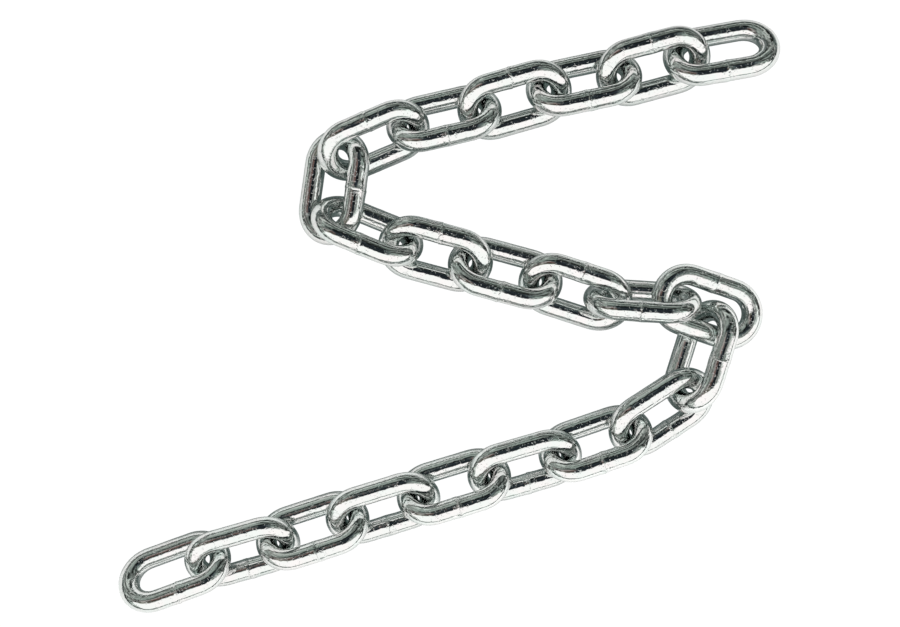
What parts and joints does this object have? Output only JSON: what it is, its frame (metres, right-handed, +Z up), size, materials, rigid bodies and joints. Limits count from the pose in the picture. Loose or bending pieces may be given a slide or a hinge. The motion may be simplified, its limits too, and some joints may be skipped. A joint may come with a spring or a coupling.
{
  "type": "length of welded link chain",
  "caption": "Length of round-wire welded steel chain with bright zinc plating, laid out on the floor in three zig-zag legs.",
  "frame": {"origin": "on the floor, at the middle of the rectangle that the laid chain covers", "axes": "+Z up; +X along the legs of the Z, towards the side where the first leg ends free; +Y across the legs, from the last leg to the first"},
  "size_m": [0.3152, 0.2827, 0.0343],
  "materials": {
    "zinc_plated_steel": "bright electroplated zinc, slightly wavy"
  },
  "bodies": {
    "link_01": {"link_01": "zinc_plated_steel"},
    "link_02": {"link_02": "zinc_plated_steel"},
    "link_03": {"link_03": "zinc_plated_steel"},
    "link_04": {"link_04": "zinc_plated_steel"},
    "link_05": {"link_05": "zinc_plated_steel"},
    "link_06": {"link_06": "zinc_plated_steel"},
    "link_07": {"link_07": "zinc_plated_steel"},
    "link_08": {"link_08": "zinc_plated_steel"},
    "link_09": {"link_09": "zinc_plated_steel"},
    "link_10": {"link_10": "zinc_plated_steel"},
    "link_11": {"link_11": "zinc_plated_steel"},
    "link_12": {"link_12": "zinc_plated_steel"},
    "link_13": {"link_13": "zinc_plated_steel"},
    "link_14": {"link_14": "zinc_plated_steel"},
    "link_15": {"link_15": "zinc_plated_steel"},
    "link_16": {"link_16": "zinc_plated_steel"},
    "link_17": {"link_17": "zinc_plated_steel"},
    "link_18": {"link_18": "zinc_plated_steel"},
    "link_19": {"link_19": "zinc_plated_steel"},
    "link_20": {"link_20": "zinc_plated_steel"},
    "link_21": {"link_21": "zinc_plated_steel"},
    "link_22": {"link_22": "zinc_plated_steel"}
  },
  "joints": [
    {"name": "swing_01", "type": "hinge", "parent": "link_02", "child": "link_01", "pos_m": [0.11341, 0.12209, 0], "axis": [0, 0, 1], "range_deg": [-8.5, 8.5]},
    {"name": "swing_02", "type": "hinge", "parent": "link_03", "child": "link_02", "pos_m": [0.08097, 0.11324, 0], "axis": [0, 0, -1], "range_deg": [-8.5, 9.5]},
    {"name": "swing_03", "type": "hinge", "parent": "link_04", "child": "link_03", "pos_m": [0.04761, 0.10653, 0], "axis": [0, 0, 1], "range_deg": [-6, 13.5]},
    {"name": "swing_04", "type": "hinge", "parent": "link_05", "child": "link_04", "pos_m": [0.01461, 0.0967, 0], "axis": [0, 0, -1], "range_deg": [-5, 2.5]},
    {"name": "swing_05", "type": "hinge", "parent": "link_06", "child": "link_05", "pos_m": [-0.01969, 0.0894, 0], "axis": [0, 0, 1], "range_deg": [-13.5, 4]},
    {"name": "swing_06", "type": "hinge", "parent": "link_07", "child": "link_06", "pos_m": [-0.05429, 0.07819, 0], "axis": [0, 0, -1], "range_deg": [-12, 5]},
    {"name": "swing_07", "type": "hinge", "parent": "link_08", "child": "link_07", "pos_m": [-0.05908, 0.04276, 0], "axis": [0, 0, 1], "range_deg": [-4, 17]},
    {"name": "swing_08", "type": "hinge", "parent": "link_09", "child": "link_08", "pos_m": [-0.02306, 0.03244, 0], "axis": [0, 0, -1], "range_deg": [-4.5, 32.5]},
    {"name": "swing_09", "type": "hinge", "parent": "link_10", "child": "link_09", "pos_m": [0.01022, 0.0239, 0], "axis": [0, 0, 1], "range_deg": [-4.5, 4.5]},
    {"name": "swing_10", "type": "hinge", "parent": "link_11", "child": "link_10", "pos_m": [0.04377, 0.01537, 0], "axis": [0, 0, -1], "range_deg": [-2.5, 4.5]},
    {"name": "swing_12", "type": "hinge", "parent": "link_11", "child": "link_12", "pos_m": [0.07545, 0.00521, 0], "axis": [0, 0, -1], "range_deg": [-29.5, 5]},
    {"name": "swing_13", "type": "hinge", "parent": "link_12", "child": "link_13", "pos_m": [0.10763, 0.00712, 0], "axis": [0, 0, 1], "range_deg": [-14.5, 3]},
    {"name": "swing_14", "type": "hinge", "parent": "link_13", "child": "link_14", "pos_m": [0.13537, -0.00127, 0], "axis": [0, 0, -1], "range_deg": [-3.5, 13.5]},
    {"name": "swing_15", "type": "hinge", "parent": "link_14", "child": "link_15", "pos_m": [0.11656, -0.03843, 0], "axis": [0, 0, 1], "range_deg": [-31.5, 5]},
    {"name": "swing_16", "type": "hinge", "parent": "link_15", "child": "link_16", "pos_m": [0.08677, -0.05695, 0], "axis": [0, 0, -1], "range_deg": [-4.5, 4]},
    {"name": "swing_17", "type": "hinge", "parent": "link_16", "child": "link_17", "pos_m": [0.05312, -0.06767, 0], "axis": [0, 0, 1], "range_deg": [-6.5, 3.5]},
    {"name": "swing_18", "type": "hinge", "parent": "link_17", "child": "link_18", "pos_m": [0.01917, -0.07721, 0], "axis": [0, 0, -1], "range_deg": [-2.5, 4.5]},
    {"name": "swing_19", "type": "hinge", "parent": "link_18", "child": "link_19", "pos_m": [-0.01448, -0.08754, 0], "axis": [0, 0, 1], "range_deg": [-3.5, 3.5]},
    {"name": "swing_20", "type": "hinge", "parent": "link_19", "child": "link_20", "pos_m": [-0.04815, -0.09779, 0], "axis": [0, 0, -1], "range_deg": [-3.5, 1.5]},
    {"name": "swing_21", "type": "hinge", "parent": "link_20", "child": "link_21", "pos_m": [-0.08145, -0.10876, 0], "axis": [0, 0, 1], "range_deg": [-2, 10]},
    {"name": "swing_22", "type": "hinge", "parent": "link_21", "child": "link_22", "pos_m": [-0.11465, -0.11734, 0], "axis": [0, 0, -1], "range_deg": [-10.5, 14.5]}
  ]
}
